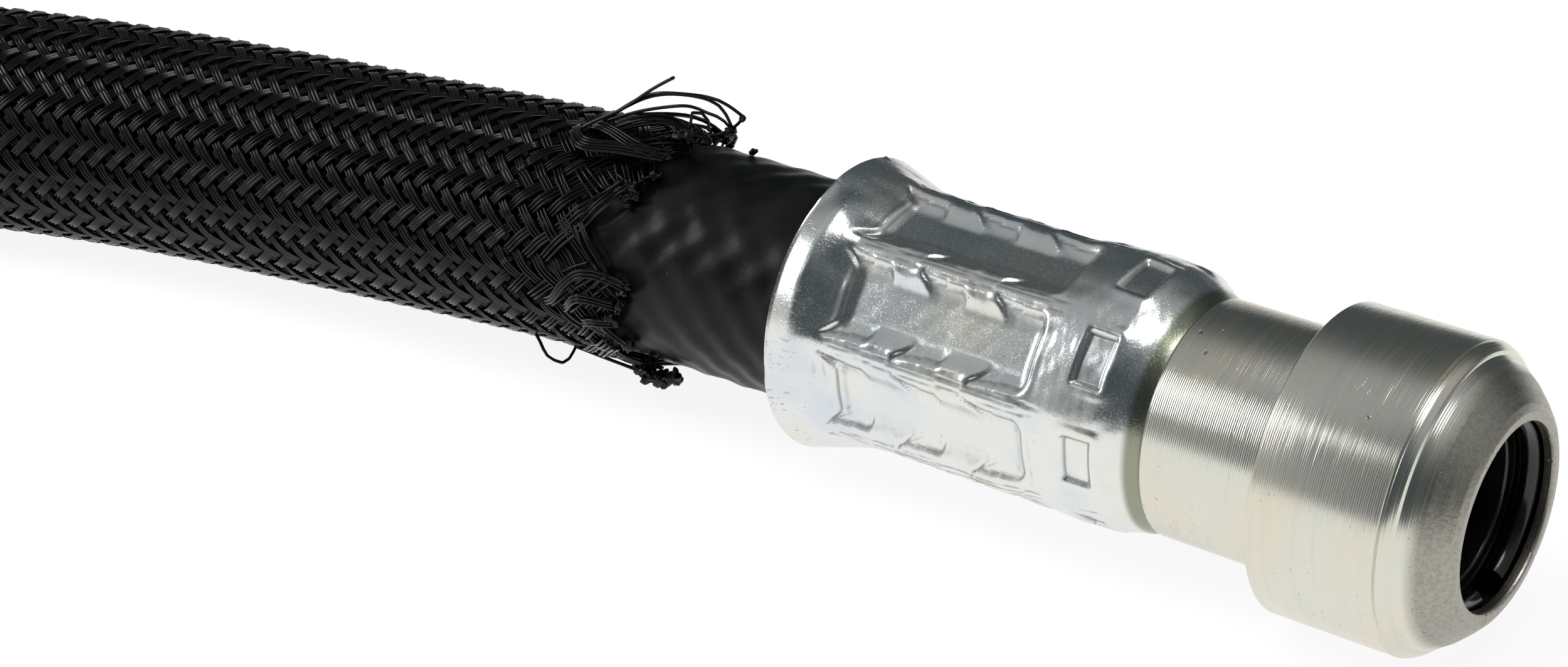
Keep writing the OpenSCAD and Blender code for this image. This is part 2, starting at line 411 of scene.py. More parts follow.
def braidPiece(name, way, start, end, step, arcSteps):
    along = np.linspace(start, end, int((end - start) / step) + 1)
    grid = np.meshgrid(np.arange(sleeve["carriers"]), along, indexing="ij")
    turn = strandTurn(grid[1], grid[0], way)
    radius = sleeve["middle"] + sleeve["weave"] * weaveHeight(turn, way)
    centre = onHose(grid[1], turn, radius)
    outward = onHose(grid[1], turn, radius + 1) - centre
    return strandMesh(name, sweepProfile(centre, outward, strandProfile(arcSteps)))


def makeSleeve():
    pieces = []
    start, nearEnd, end = sleeve["start"], sleeve["nearEnd"], hoseEnd - sleeve["start"]
    middle = (nearEnd + end) / 2
    near, far = (sleeve["nearStep"], sleeve["nearArc"]), (sleeve["farStep"], sleeve["farArc"])
    for way, side in ((1, "Right"), (-1, "Left")):
        pieces.append(braidPiece("sleeveNear" + side, way, start, nearEnd, *near))
        pieces.append(braidPiece("sleeveMiddle" + side, way, nearEnd, middle, *far))
        pieces.append(braidPiece("sleeveFar" + side, way, middle, end, *far))
    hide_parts("braided_sleeve")
    return pieces


sleevePieces = makeSleeve()
print("sleeve made")

# places along the line and distances from its middle in mm, angles in degrees round the hose
fray = {
    "sides": 6,
    "rings": 34,
    "overlap": 0.3,  # past the sleeve's end
    "cut": 58,  # about where the sleeve was cut
    "lift": 0.9,
    "part": 1.3,
    "pull": 0.72,
    "pullingLump": 0.7,  # lumps larger than this draw the strands
    "strandSeeds": (4, 9),  # near end, far end
    "lumpSeeds": (5, 8),
    "lowestBead": 12.0,
    "beadStray": 0.72,
    "voxel": 0.1,
    "bumpy": (0.07, 0.03),
    # where the strands stop, by angle round the hose
    "edgeAngles": (-180, -120, -57, -30, -5, 8, 14, 25, 45, 65, 87, 110, 150, 180),
    "edgeAlong": (58.5, 58, 56, 57.5, 56.5, 55.5, 57.6, 60.5, 58, 56.5, 56, 57, 58.5, 58.5),
    # melted lumps: along, angle, distance out, size, number of beads
    "lumps": [
        (55.0, 88, 13.9, 1.4, 16), (53.8, 92, 13.4, 0.8, 7), (50.8, 94, 14.9, 0.45, 4),
        (49.2, 93, 16.8, 0.3, 3), (57.1, 52, 12.7, 1.1, 12), (55.7, 64, 12.3, 0.5, 6),
        (57.0, 45, 12.7, 0.5, 5), (54.7, 70, 13.9, 0.35, 5),
        (55.0, 4, 12.8, 0.8, 10), (56.1, -5, 12.9, 0.8, 9), (57.0, -15, 12.9, 0.9, 10),
        (58.3, -27, 12.9, 1.0, 10), (56.4, -31, 12.7, 0.8, 8), (57.2, -57, 13.3, 1.1, 12),
        (55.2, -57, 13.9, 1.3, 18), (53.4, -54, 13.7, 1.2, 16), (51.9, -51, 13.3, 1.0, 12),
        (56.5, -95, 13.0, 1.2, 11), (57.0, -135, 12.9, 1.1, 10), (56.0, 175, 12.9, 1.2, 11),
        (57.0, 130, 13.0, 1.2, 11), (50.4, 112, 12.2, 0.5, 5)],
    # loose bundles: filaments, gap between them, then (along, angle, distance out)
    "bundles": [
        (5, 0.36, [(68.6, 78, 12.9), (67.4, 74, 13.7), (65.6, 66, 14.4), (64.0, 64, 14.6), (61.0, 66, 14.5),
                   (57.5, 68, 14.3), (54.7, 70, 14.0)]),
        (4, 0.38, [(66.6, 82, 12.9), (65.0, 78, 14.0), (62.0, 74, 14.5), (58.7, 70, 14.3),
                   (56.0, 69, 14.2)]),
        (3, 0.4, [(66.4, -14, 12.7), (64.6, -9, 13.5), (62.6, 0, 14.0), (60.1, 8, 14.0), (57.0, 9, 13.6),
                  (54.6, 6, 13.0)]),
        (3, 0.4, [(64.0, -16, 12.7), (62.3, -10, 13.5), (60.8, -4, 14.0), (58.6, -3, 13.8),
                  (56.2, -5, 13.2)]),
        (3, 0.4, [(61.5, -22, 12.8), (60.5, -18, 13.4), (58.6, -16, 13.4), (57.0, -16, 13.0)]),
        (3, 0.42, [(66.0, -56, 12.9), (61.5, -57, 13.3), (57.2, -57, 13.6), (55.0, -56, 13.8)]),
        (3, 0.5, [(64.0, 84, 13.4), (60.5, 86, 14.8), (57.5, 88, 15.1), (55.2, 89, 14.2)]),
        (3, 0.5, [(64.5, 90, 13.2), (60.5, 91, 14.4), (56.5, 91, 14.7), (54.0, 92, 13.9)]),
        (2, 0.5, [(63.6, 80, 13.4), (60.0, 84, 14.5), (57.0, 86, 15.0), (54.6, 88, 14.6)]),
        (3, 0.4, [(66.0, 112, 12.9), (62.0, 118, 13.9), (58.5, 124, 13.9), (56.8, 130, 13.1)])],
    # single filaments: (along, angle, distance out)
    "loops": [
        [(68.0, 73, 13.0), (65.5, 76, 14.6), (61.3, 79, 16.9), (58.0, 82, 19.2), (55.4, 84, 21.0)],
        [(66.0, 80, 13.4), (62.6, 84, 15.8), (58.5, 84, 18.3), (54.3, 85, 19.2), (51.2, 89, 18.6),
         (49.1, 93, 16.9)],
        [(66.3, 82, 13.3), (62.9, 85, 15.5), (58.4, 85, 18.0), (54.4, 86, 18.8), (51.6, 90, 17.9),
         (50.6, 94, 15.1)],
        [(65.5, 86, 13.4), (61.5, 88, 15.1), (57.0, 89, 16.6), (54.4, 90, 16.9), (53.0, 92, 16.4),
         (52.2, 93, 16.1), (50.8, 94, 15.1)],
        [(49.2, 93, 16.7), (49.9, 93.5, 15.7), (50.7, 94, 15.0), (52.0, 94, 14.2), (53.5, 93, 13.6)],
        [(55.0, 87, 14.4), (54.8, 88, 15.6), (54.6, 89, 16.5), (53.5, 91, 16.2), (53.2, 92, 14.4)],
        [(71.0, -48, 12.8), (70.3, -50, 13.6), (69.0, -51, 14.7), (68.0, -52, 15.1), (67.3, -55, 14.9),
         (67.2, -58, 14.0), (67.5, -62, 12.9)],
        [(57.5, 48, 13.0), (56.6, 56, 12.9), (56.0, 62, 12.6), (55.2, 66, 12.4)],
        [(60.0, 58, 12.8), (58.6, 55, 13.3), (57.6, 53, 13.1)],
        [(66.5, -100, 12.9), (62.0, -104, 14.2), (58.5, -100, 15.0), (56.0, -96, 13.6)],
        [(65.0, 160, 12.9), (61.0, 166, 14.6), (57.5, 170, 14.9), (55.5, 174, 13.4)]],
}


def frayEdge(turn):
    degrees = (np.degrees(turn) + 180) % 360 - 180
    return np.interp(degrees, fray["edgeAngles"], fray["edgeAlong"])


def tubeRings(centre, across, above, radius):
    angle = -np.arange(fray["sides"]) * 2 * math.pi / fray["sides"]
    return (centre[:, :, None, :] + radius * np.cos(angle)[None, None, :, None] * across[:, :, None, :]
            + radius * np.sin(angle)[None, None, :, None] * above[:, :, None, :])


def looseFilaments(name, seed, fromFarEnd=False):
    # the last of every bundle, opened into its three filaments and drawn towards the melted lumps
    source = random.Random(seed)
    pulling = [degrees for _, degrees, _, size, _ in fray["lumps"] if size > fray["pullingLump"]]
    lumpTurns = np.radians(pulling)
    share = np.linspace(0, 1, fray["rings"])
    allRings = []
    for way in (1, -1):
        phase = math.pi - way * 2 * math.pi * hoseEnd / sleeve["lead"] if fromFarEnd else 0
        for carrier in range(sleeve["carriers"]):
            start = sleeve["start"] + fray["overlap"]
            edge = frayEdge(strandTurn(fray["cut"], carrier, way) + phase) + source.uniform(-0.9, 0.9)
            along = start + (edge - start) * share
            turn = strandTurn(along, carrier, way) + phase
            height = weaveHeight(math.pi - turn if fromFarEnd else turn, way) * (1 - 0.5 * share**2)
            toLumps = (lumpTurns - turn[-1] + math.pi) % (2 * math.pi) - math.pi
            pull = toLumps[np.argmin(abs(toLumps))] * fray["pull"] + source.uniform(-0.04, 0.04)
            turn = turn + pull * share**2.2
            lift = fray["lift"] * source.uniform(0.05, 1) * share**2
            radius = sleeve["middle"] + sleeve["weave"] * height + lift
            if fromFarEnd:
                along, turn = hoseEnd - along, math.pi - turn
            centre = onHose(along, turn, radius)[None]
            outward = onHose(along, turn, radius + 1)[None] - centre
            across, above = strandFrame(centre, outward)
            for k in (-1, 0, 1):
                apart = sleeve["spread"] * k * (1 + fray["part"] * source.uniform(0, 1) * share**1.5)
                apart = apart + source.uniform(-0.25, 0.25) * share**2
                rise = source.uniform(-0.1, 0.35) * share**2
                line = centre + apart[None, :, None] * across + rise[None, :, None] * above
                allRings.append(tubeRings(line, across, above, sleeve["filament"]))
    return strandMesh(name, np.concatenate(allRings))


def hosePoint(along, degrees, radius):
    return onHose(np.array(float(along)), np.radians(degrees), np.array(float(radius)))


def freeFilament(stops, sideStep=0.0, seed=0):
    # one filament on a smooth line through (along, angle, distance out) stops
    source = random.Random(seed)
    points = []
    for along, degrees, radius in stops:
        stray = source.uniform(-0.08, 0.08)
        points.append(hosePoint(along + stray, degrees + math.degrees(sideStep / radius), radius + stray))
    line = splineThrough(points, 1.0)
    at = np.linspace(0, 1, fray["rings"])
    have = np.linspace(0, 1, len(line))
    centre = np.stack([np.interp(at, have, line[:, k]) for k in range(3)], -1)[None]
    outward = np.broadcast_to([0.1, -0.3, 1.0], centre.shape)
    across, above = strandFrame(centre, outward)
    return tubeRings(centre, across, above, sleeve["filament"])


def makeLooseEnds():
    rings = []
    for count, gap, stops in fray["bundles"]:
        for k in range(count):
            rings.append(freeFilament(stops, (k - (count - 1) / 2) * gap, len(rings)))
    for stops in fray["loops"]:
        rings.append(freeFilament(stops, 0, len(rings)))
    return strandMesh("looseEnds", np.concatenate(rings))


def dropInnerShells(piece):
    # a remeshed cluster can enclose a hollow, whose shell faces inwards
    mesh = bmesh.new()
    mesh.from_mesh(piece.data)
    left = set(mesh.verts)
    while left:
        island = [left.pop()]
        for vertex in island:
            near = [edge.other_vert(vertex) for edge in vertex.link_edges]
            island += [other for other in near if other in left]
            left.difference_update(near)
        faces = {face for vertex in island for face in vertex.link_faces}
        if sum(face.calc_center_median().dot(face.normal) * face.calc_area() for face in faces) < 0:
            bmesh.ops.delete(mesh, geom=island, context="VERTS")
    mesh.to_mesh(piece.data)
    mesh.free()


def makeLumps(name, seed, fromFarEnd=False):
    # beads of melted filament run together
    clearSelection()
    bpy.ops.mesh.primitive_ico_sphere_add(subdivisions=2, radius=1, location=(0, 0, 0))
    bead = bpy.context.object
    beadPoints = meshPoints(bead)
    beadFaces = np.array([list(face.vertices) for face in bead.data.polygons])
    bpy.data.objects.remove(bead)
    source = random.Random(seed)
    stray = fray["beadStray"]
    points, faces = [], []
    for along, degrees, radius, size, count in fray["lumps"]:
        for _ in range(count):
            beadAlong = along + source.uniform(-stray, stray) * size
            beadTurn = math.radians(degrees + math.degrees(source.uniform(-stray, stray) * size / radius))
            beadOut = max(fray["lowestBead"], radius + source.uniform(-0.45, 0.3) * size)
            if fromFarEnd:
                beadAlong, beadTurn = hoseEnd - beadAlong, math.pi - beadTurn
            middle = onHose(np.array(beadAlong), np.array(beadTurn), np.array(beadOut))
            stretch = np.array([source.uniform(0.6, 1.5) for _ in range(3)])
            faces.append(beadFaces + len(points) * len(beadPoints))
            points.append(beadPoints * stretch * source.uniform(0.3, 0.6) * (0.45 + 0.5 * size) + middle)
    piece = meshPiece(name, np.concatenate(points) * mm, np.concatenate(faces))
    remesh = piece.modifiers.new("together", "REMESH")
    remesh.mode = "VOXEL"
    remesh.voxel_size = fray["voxel"] * mm
    applyAll(piece)
    dropInnerShells(piece)
    shaped = meshPoints(piece) / mm
    wobble = np.sin(shaped @ np.array([[7.1, 3.3, 2.2], [2.9, -6.4, 4.1], [3.7, 4.9, 6.8]]))
    finer = np.sin(shaped @ np.array([[17.3, 9.1, 4.2], [6.9, -15.4, 11.1], [9.7, 8.9, -16.8]]))
    coarseDepth, fineDepth = fray["bumpy"]
    setMeshPoints(piece, (shaped + coarseDepth * wobble + fineDepth * finer) * mm)
    piece.data.shade_smooth()
    return piece


def makeFray():
    nearStrands, farStrands = fray["strandSeeds"]
    nearBeads, farBeads = fray["lumpSeeds"]
    return [looseFilaments("nearFray", nearStrands), looseFilaments("farFray", farStrands, True),
            makeLooseEnds(), makeLumps("nearLumps", nearBeads), makeLumps("farLumps", farBeads, True)]


frayPieces = makeFray()
print("frayed ends made")

couplingBody = {
    "steps": 384,
    # along, out and corner radius: neck, collar, nose, then back through the socket
    "outline": [
        (4.6, 8.5, 0.1), (4.6, 12.05, 0.28), (16.9, 12.05, 0), (17.2, 12.05, 0), (17.45, 12.05, 0),
        (17.7, 12.05, 0), (17.95, 12.02, 0), (18.1, 12.0, 0), (18.1, 15.5, 0.22),
        (31.25, 15.5, 0.06), (31.42, 15.2, 0.05), (31.58, 15.38, 0.06), (32.0, 15.16, 0.4),
        (32.5, 14.74, 0.15), (32.66, 14.36, 0.08), (33.4, 13.98, 0.5), (34.6, 13.14, 1.2),
        (35.8, 12.02, 1.2), (36.7, 11.02, 0.7), (37.1, 10.3, 0.3), (37.12, 9.6, 0.1), (37.0, 9.36, 0.08),
        (36.8, 9.3, 0.05), (36.0, 9.3, 0.08), (36.0, 11.2, 0.1), (33.2, 11.2, 0.1), (33.2, 9.1, 0.1),
        (30.5, 9.1, 0.05), (30.5, 7.6, 0.12), (29.5, 7.6, 0.12), (29.5, 10.3, 0.1), (24.9, 10.3, 0.1),
        (24.9, 7.6, 0.12), (15.1, 7.6, 0.1), (15.1, 5.6, 0.12), (12.6, 5.6, 0.1), (12.6, 8.5, 0.1)],
    "burr": 0.2,
    "burrAt": (17.55, 12.04),
    "nick": 0.34,
}


def makeCouplingBody():
    size = couplingBody
    piece = spinSolid("couplingBody", roundCorners(size["outline"]), size["steps"])
    along, angle, out = aroundAxis(piece)
    # burr of torn metal in the corner behind the collar
    burrAlong, burrOut = size["burrAt"]
    burrRow = np.clip(1 - abs(along - burrAlong) / 0.36, 0, 1) * (abs(out - burrOut) < 0.1)
    burrPart = np.clip(0.35 + 0.5 * roughLine(angle, seed=3, waves=(2, 5, 17, 43, 71, 97)), 0, 1)
    out = out + size["burr"] * burrRow * burrPart
    # nicks round the mouth
    lip = np.clip((along - 36.6) / 0.4, 0, 1) * (out > 9.25) * (out < 10.8)
    nick = np.clip(roughLine(angle, seed=8, waves=(5, 13, 29, 47, 83)) - 0.75, 0, 1)
    along = along - size["nick"] * lip * nick
    setAroundAxis(piece, along, angle, out + 0.08 * lip * nick)
    setAttribute(piece, "nose", smoothStep(along, 33.7, 34.5))
    setAttribute(piece, "collar", along > 18.05)
    # where the socket's bore and seats are, which the steel finish paints near-black as painted shade and
    # makes rougher
    setAttribute(piece, "inside", (along < 36.05) & ((out < 9.45) | ((out < 11.3) & (along > 20))))
    smoothByAngle(piece, 38)
    return piece


couplingStem = {
    "steps": 128,
    "shoulder": [
        (12.5, 5.0, 0.1), (12.5, 8.42, 0.2), (4.62, 8.42, 0), (4.62, 10.4, 0.15), (2.4, 10.4, 0.15),
        (2.4, 9.0, 0.05), (-0.2, 9.0, 0.05), (-0.2, 10.2, 0.1), (-2.5, 10.2, 0.15), (-2.5, 7.1, 0.05)],
    "barbs": 7,
    "barbPitch": 4,
    "tail": [(-34, 6.9, 0.1), (-34, 5.0, 0.1)],
}


def makeStem():
    size = couplingStem
    outline = list(size["shoulder"])
    for k in range(size["barbs"]):
        back = size["barbPitch"] * k
        outline += [(-6 - back, 7.1, 0), (-6.2 - back, 7.6, 0.05), (-8.6 - back, 7.15, 0)]
    piece = spinSolid("couplingStem", roundCorners(outline + size["tail"]), size["steps"])
    smoothByAngle(piece, 35)
    return piece


ferrule = {
    "steps": 400,
    "panels": 8,
    "firstPanel": 34,
    "seed": 21,
    # radius along the ferrule: on the ridges, and in the middle of a panel before pressing
    "placeAlong": (-37.1, -36.2, -35.3, -34.6, -34.2, -33.6, -33, -32, -31, -30, -27, -9, -8, -6.4, -5,
                   -3.5, -2, 0, 0.9, 1.7, 2.4, 2.9, 3.3, 3.7, 4.1, 4.5),
    "ridge": (15.0, 15.16, 15.31, 15.4, 15.34, 15.1, 14.85, 14.5, 14.2, 14.05, 14.0, 14.0, 13.95, 13.95,
              13.95, 13.9, 13.75, 13.5, 13.25, 12.95, 12.65, 12.42, 12.2, 11.98, 11.75, 11.55),
    "panel": (14.95, 15.12, 15.28, 15.4, 15.28, 14.9, 14.45, 13.85, 13.45, 13.25, 13.2, 13.2, 13.4, 13.6,
              13.7, 13.72, 13.62, 13.42, 13.18, 12.87, 12.6, 12.4, 12.2, 11.98, 11.75, 11.55),
    # away from the front side the rear end opens like a trumpet: mid panel, and extra on a ridge
    "flareAlong": (-37.1, -36, -35, -34, -33, -32, -31, -30),
    "flare": (15.48, 15.15, 14.8, 14.45, 14.1, 13.8, 13.52, 13.3),
    "flareRidge": (0.0, 0.1, 0.2, 0.3, 0.42, 0.52, 0.62, 0.72),
    "inside": [
        (4.52, 11.2), (4.4, 10.75), (4.0, 10.6), (-0.2, 10.6), (-0.3, 11.2), (-3.8, 11.3), (-28, 11.35),
        (-30.5, 11.7), (-32, 12.5), (-33.5, 13.4), (-35, 14.1), (-36.5, 14.6), (-37.15, 14.8),
        (-37.25, 15.1)],
    # the crimp pushed the front end aside: how much, and towards which angle
    "aside": (0.45, 122),
    "floor": 12.42,
    "lobeFloor": 12.39,
    "arcRadius": 13,
    # pressed lobes: first and last place along
    "lobes": ((-29.9, -25.7), (-21.2, -17.1), (-12.4, -7.8)),
    "lobeHalf": 16.6,
    "waistHalf": 14.0,
    "wallLean": 0.62,
    # square dent near the front: first and last place along, middle and half width in degrees
    "dent": (-3.2, 0.0, 6.0, 11.6),
    "dentDepth": 0.55,
    "dentRadius": 13.3,
    "tornAt": 112,
    "skin": 15.0,
    "creaseReach": 0.22,
}


def boxDistance(x, y, halfX, halfY, corner):
    # signed distance to a rounded rectangle round the origin
    dx = abs(x) - halfX + corner
    dy = abs(y) - halfY + corner
    return np.hypot(np.maximum(dx, 0), np.maximum(dy, 0)) + np.minimum(np.maximum(dx, dy), 0) - corner


def taperDistance(x, y, start, end, startRadius, endRadius):
    # signed distance to a tapering stroke, for the pointed horns of a lobe
    line = np.array(end) - np.array(start)
    share = np.clip(((x - start[0]) * line[0] + (y - start[1]) * line[1]) / (line @ line), 0, 1)
    radius = startRadius + (endRadius - startRadius) * share
    return np.hypot(x - start[0] - share * line[0], y - start[1] - share * line[1]) - radius


farAway = 9.0  # further than any mark reaches, mm


def softLeast(a, b, width):
    share = np.clip(0.5 + 0.5 * (b - a) / width, 0, 1)
    return b + (a - b) * share - width * share * (1 - share)


def unevenSheet(along, angle, pressed):
    uneven = np.sin(along * 0.9 + 3 * np.sin(angle * 2)) * np.sin(angle * 5 + along * 0.4)
    uneven += 0.7 * np.sin(along * 1.9 + 4 * np.sin(angle * 3 + 1)) * np.sin(angle * 11 - along * 0.8)
    uneven += 0.4 * np.sin(along * 3.7 + 5 * np.sin(angle * 4 + 2)) * np.sin(angle * 23 + along * 1.9)
    uneven *= smoothStep(along, -37, -34) * (1 - smoothStep(along, 2.4, 3.2)) * (1 - 0.65 * pressed)
    return 0.03 * uneven


def ferruleRadius(along, angle):
    size = ferrule
    pitch = 360 / size["panels"]
    turned = np.degrees(angle) - size["firstPanel"] + pitch / 2
    number = np.floor(turned / pitch).astype(int) % size["panels"]
    source = random.Random(size["seed"])
    tilt, deep, shift = [np.array([source.uniform(-most, most) for _ in range(size["panels"])])[number]
                         for most in (0.35, 0.05, 0.25)]
    degrees = turned % pitch - pitch / 2
    ridge = np.interp(along, size["placeAlong"], size["ridge"])
    panel = np.interp(along, size["placeAlong"], size["panel"])
    off = abs(degrees) / (pitch / 2)
    onRidge = smoothStep(off, 0.35, 0.98)
    radius = panel + (ridge - panel) * onRidge
    flared = np.interp(along, size["flareAlong"], size["flare"])
    flared += np.interp(along, size["flareAlong"], size["flareRidge"]) * onRidge
    opened = 1 - smoothStep(np.cos(angle - math.radians(size["firstPanel"])), 0.68, 0.88)
    radius += (flared - radius) * opened * (1 - smoothStep(along, -31.5, -30))
    push, towards = size["aside"]
    pushed = push * np.cos(angle - math.radians(towards))
    radius += pushed * smoothStep(along, -11, -7) * (1 - smoothStep(along, 0.5, 4))
    # arc measure across a panel, mm; the walls along it lean more than those across its ends
    lean, arcRadius = size["wallLean"], size["arcRadius"]
    across = np.radians(degrees + tilt) * arcRadius * lean
    place = along - shift
    first, last = size["lobes"][0][0], size["lobes"][-1][1]
    waistHalf = math.radians(size["waistHalf"]) * arcRadius * lean
    lobeHalf = math.radians(size["lobeHalf"]) * arcRadius * lean
    trough = boxDistance(place - (first + last) / 2, across, (last - first) / 2 - 0.4, waistHalf, 0.8)
    lobe = np.full_like(trough, farAway)
    horn = np.full_like(trough, farAway)
    for low, high in size["lobes"]:
        box = boxDistance(place - (low + high) / 2, across, (high - low) / 2, lobeHalf, 0.9)
        lobe = np.minimum(lobe, box)
        for side in (-1, 1):
            start, end = (low + 1.1, side * (lobeHalf - 0.6)), (low - 1.5, side * (lobeHalf + 0.3))
            horn = np.minimum(horn, taperDistance(place, across, start, end, 0.65, 0.02))
    outline = softLeast(lobe, horn, 0.3)
    # a sharp crease round a soft hollow for each lobe, soft sides for the trough that joins them
    wall = 0.45 * smoothStep(outline, -0.2, 0.22) + 0.55 * smoothStep(outline, -1.6, 0.1)
    pressed = 1 - wall * smoothStep(trough, -0.9, 0.45)
    lobed = 1 - smoothStep(lobe, -1.6, 0.3)
    floor = size["floor"] + deep + (size["lobeFloor"] - size["floor"]) * lobed
    floor = floor / np.cos(np.radians(degrees))
    radius = radius + (np.minimum(floor, radius) - radius) * pressed
    # metal pushed up beside the press marks
    beside = np.exp(-((outline - 0.5) / 0.3) ** 2) * smoothStep(trough, -0.1, 0.4)
    radius += 0.08 * beside * (off < 0.97) * smoothStep(along, -31, -29.5)
    # pinched crease that wanders along each ridge
    wander = 0.35 * np.sin(along * 0.55 + number) + 0.2 * np.sin(along * 1.3 + 2 * number)
    fromCrease = np.minimum(abs(abs(degrees) - pitch / 2 + 2.2 + wander), 9) * math.radians(1) * 13.8
    inCrimp = smoothStep(along, -31, -28) * (1 - smoothStep(along, -8, -5))
    radius -= 0.09 * np.exp(-(fromCrease / 0.2) ** 2) * inCrimp
    # small square dent near the front, with a crease on its rear side
    low, high, aside, half = size["dent"]
    dentAcross = np.radians(degrees - aside) * size["dentRadius"]
    halfAcross = math.radians(half) * size["dentRadius"]
    dent = boxDistance(place - (low + high) / 2, dentAcross, (high - low) / 2, halfAcross, 0.25)
    ramp = 0.7 + 0.3 * np.clip((high - place) / (high - low), 0, 1)
    radius -= size["dentDepth"] * ramp * (1 - smoothStep(dent, -0.32, 0.12))
    radius += 0.15 * np.exp(-((dent - 0.5) / 0.55) ** 2) * (0.3 + 0.7 * smoothStep(place, low, high))
    radius += unevenSheet(along, angle, pressed)
    # torn edge at the top of the rear end
    torn = np.clip(roughLine(angle, seed=5, waves=(31, 57, 83)), 0, 1)
    torn = torn * smoothStep(np.cos(angle - math.radians(size["tornAt"])), 0.975, 1)
    radius += 0.35 * torn * (1 - smoothStep(along, -37.0, -36.4))
    return radius


def makeFerrule():
    size = ferrule
    stretches = (-37.1, -31, 0.3), (-31, 1.0, 0.2), (1.0, 4.41, 0.2)
    outer = [(float(x), size["skin"]) for stretch in stretches for x in np.arange(*stretch)]
    outer.append((4.5, size["skin"]))
    piece = spinSolid("crimpFerrule", outer + size["inside"], size["steps"])
    along, angle, out = aroundAxis(piece)
    skin = abs(out - size["skin"]) < 0.02
    shaped = ferruleRadius(along, angle)
    near = size["creaseReach"]
    around = (ferruleRadius(along + near, angle) + ferruleRadius(along - near, angle)
              + ferruleRadius(along, angle + near / 13.5) + ferruleRadius(along, angle - near / 13.5))
    # how hollow each point of the skin is; the zinc finish darkens these creases as painted shade and makes
    # them rougher
    hollow = smoothStep((around - 4 * shaped) / near**2, 0.35, 2.2)
    setAroundAxis(piece, along, angle, np.where(skin, shaped, out))
    setAttribute(piece, "along", along)
    setAttribute(piece, "hollow", hollow * skin)
    smoothByAngle(piece, 75)
    return piece


# the rings in the sockets; corners are the radii of the inner edges
ringPieces = {
    "retaining": {"wire": 1.13, "middle": 9.3, "along": 34.6, "gap": 25, "gapAt": -123, "steps": 120},
    "guide": {"inside": 7.8, "outside": 9.05, "along": (30.6, 33.05), "corners": (0.25, 0.35)},
    "seal": {"wire": 1.25, "middle": 8.85, "along": 28.1, "steps": 128},
    "backup": {"inside": 7.75, "outside": 10.2, "along": (25.0, 26.5), "corners": (0.15, 0.15)},
}


def wireRing(name, size, sharp, points=20, **part):
    angles = np.arange(points) * 2 * math.pi / points
    wire, middle, along = size["wire"], size["middle"], size["along"]
    outline = [(along + wire * math.cos(a), middle + wire * math.sin(a)) for a in angles]
    piece = spinSolid(name, outline, size["steps"], **part)
    smoothByAngle(piece, sharp)
    return piece


def flatRing(name, size):
    (low, high), inside, outside = size["along"], size["inside"], size["outside"]
    rear, front = size["corners"]
    piece = spinSolid(name, roundCorners([
        (low, inside, rear), (low, outside, 0.15), (high, outside, 0.15), (high, inside, front)]), 128)
    smoothByAngle(piece, 35)
    return piece


def makeRings():
    size = ringPieces["retaining"]
    start = size["gapAt"] + size["gap"] / 2
    return (wireRing("retainingRing", size, 50, turn=360 - size["gap"], start=start),
            flatRing("guideRing", ringPieces["guide"]), wireRing("sealRing", ringPieces["seal"], 60),
            flatRing("backupRing", ringPieces["backup"]))


farPlace = (-0.488, -0.161, 0)  # where the far coupling stands, turned half round


def farCopy(piece, name):
    copy = bpy.data.objects.new(name, piece.data.copy())
    bpy.context.scene.collection.objects.link(copy)
    copy.data.name = name
    copy.data.transform(Matrix.Translation(farPlace) @ Matrix.Rotation(math.pi, 4, "Z"))
    return copy


nearPieces = {"coupling_body": makeCouplingBody(), "coupling_stem": makeStem()}
print("coupling body and stem made")
nearPieces["crimp_ferrule"] = makeFerrule()
print("ferrule made")
nearPieces.update(zip(("retaining_ring", "guide_ring", "seal_o_ring", "backup_ring"), makeRings()))
farPieces = {}
for nodeName, piece in nearPieces.items():
    farPiece = farCopy(piece, "far" + piece.name[0].upper() + piece.name[1:])
    farPieces["far_" + nodeName] = farPiece
    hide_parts(nodeName)
    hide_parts("far_" + nodeName)
    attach(piece, "ring" if nodeName == "retaining_ring" else "assembly")
    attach(farPiece, "far_ring" if nodeName == "retaining_ring" else "assembly")
print("rings and far coupling made")


def addNode(tree, kind, **values):
    node = tree.nodes.new(kind)
    for name, value in values.items():
        setattr(node, name, value)
    return node


def give(tree, socket, value):
    # a socket takes another socket's output, a colour or a number
    if isinstance(value, bpy.types.NodeSocket):
        tree.links.new(value, socket)
    elif isinstance(value, tuple):
        socket.default_value = (*value, 1)
    elif value is not None:
        socket.default_value = value


def compute(tree, operation, first, second=None, third=None):
    node = addNode(tree, "ShaderNodeMath", operation=operation)
    for socket, value in zip(node.inputs, (first, second, third)):
        give(tree, socket, value)
    return node.outputs[0]


def rangeOf(tree, value, low, high, toLow=0.0, toHigh=1.0):
    node = addNode(tree, "ShaderNodeMapRange", interpolation_type="SMOOTHSTEP")
    names = "Value", "From Min", "From Max", "To Min", "To Max"
    for name, given in zip(names, (value, low, high, toLow, toHigh)):
        give(tree, node.inputs[name], given)
    return node.outputs["Result"]


def mixColours(tree, share, first, second, blend="MIX"):
    node = addNode(tree, "ShaderNodeMix", data_type="RGBA", blend_type=blend)
    for number, value in ((0, share), (6, first), (7, second)):
        give(tree, node.inputs[number], value)
    return node.outputs[2]


def noiseAt(tree, vector, scale, detail=2.0, stretch=None, roughness=0.5):
    if stretch:
        mapping = addNode(tree, "ShaderNodeMapping", vector_type="POINT")
        mapping.inputs["Scale"].default_value = stretch
        tree.links.new(vector, mapping.inputs["Vector"])
        vector = mapping.outputs[0]
    noise = addNode(tree, "ShaderNodeTexNoise")
    names = "Vector", "Scale", "Detail", "Roughness"
    for name, given in zip(names, (vector, scale, detail, roughness)):
        give(tree, noise.inputs[name], given)
    return noise.outputs["Fac"]


